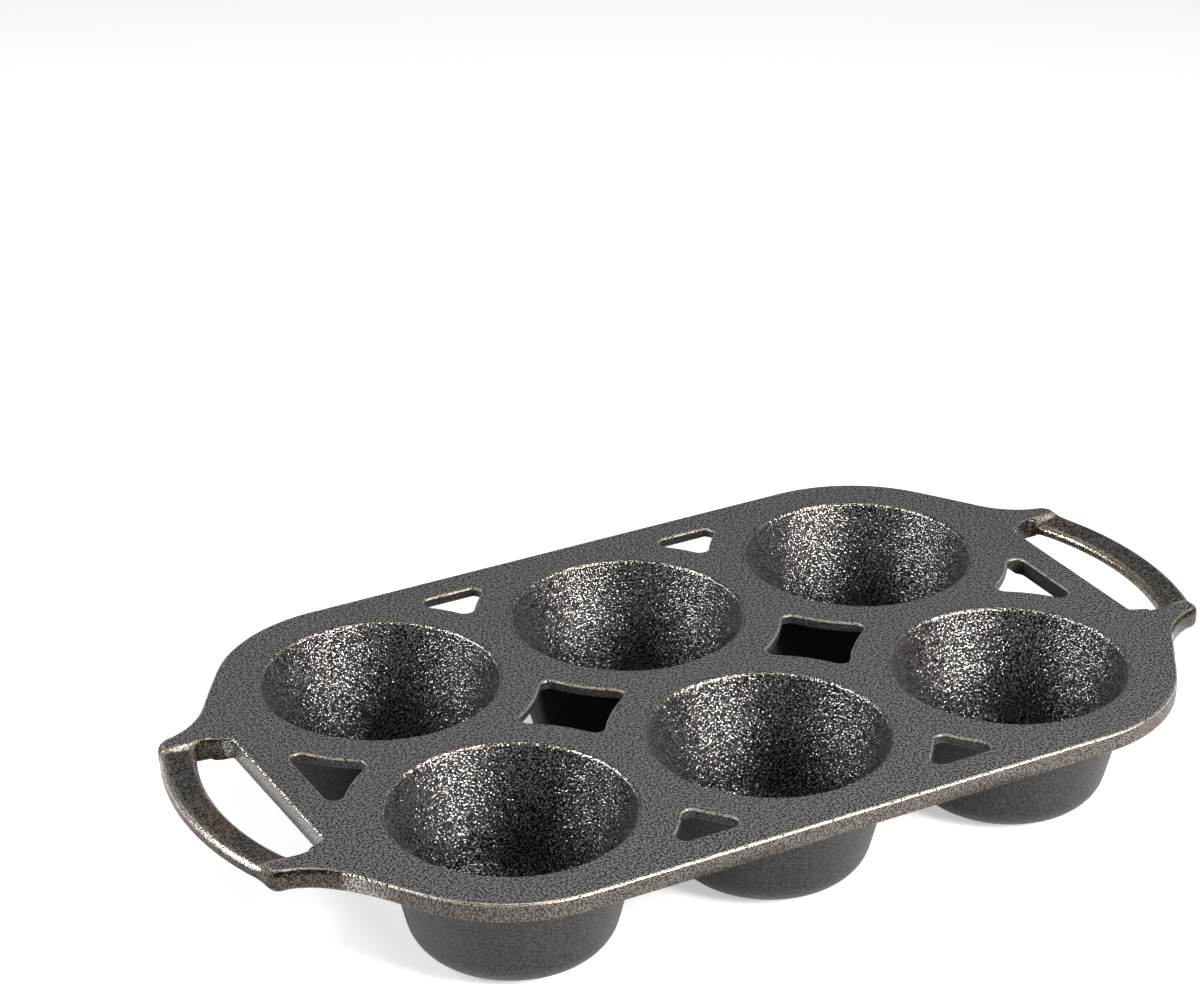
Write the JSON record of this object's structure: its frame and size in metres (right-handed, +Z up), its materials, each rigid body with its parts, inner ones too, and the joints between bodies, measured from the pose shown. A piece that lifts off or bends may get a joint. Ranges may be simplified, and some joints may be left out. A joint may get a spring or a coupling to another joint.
{
  "type": "muffin pan",
  "caption": "Cast iron muffin pan: deep tapered cups in a pierced flat deck with turned-down edges and a bow-shaped handle at each end.",
  "frame": {"origin": "centre of the pan's footprint, on the plane that the cups' feet stand on", "axes": "+X along the length from one handle to the other, +Y across the width to the back row of cups, +Z up"},
  "size_m": [0.3904, 0.217, 0.0504],
  "materials": {
    "deck_iron": "seasoned, matte, fine grained",
    "cup_iron": "seasoned, satin, pebbled",
    "handle_iron": "seasoned, satin, slightly brown"
  },
  "bodies": {
    "root": {"deck": "deck_iron", "cup_front_left": "cup_iron", "cup_front_middle": "cup_iron", "cup_front_right": "cup_iron", "cup_back_left": "cup_iron", "cup_back_middle": "cup_iron", "cup_back_right": "cup_iron", "handle_left": "handle_iron", "handle_right": "handle_iron"}
  },
  "joints": []
}
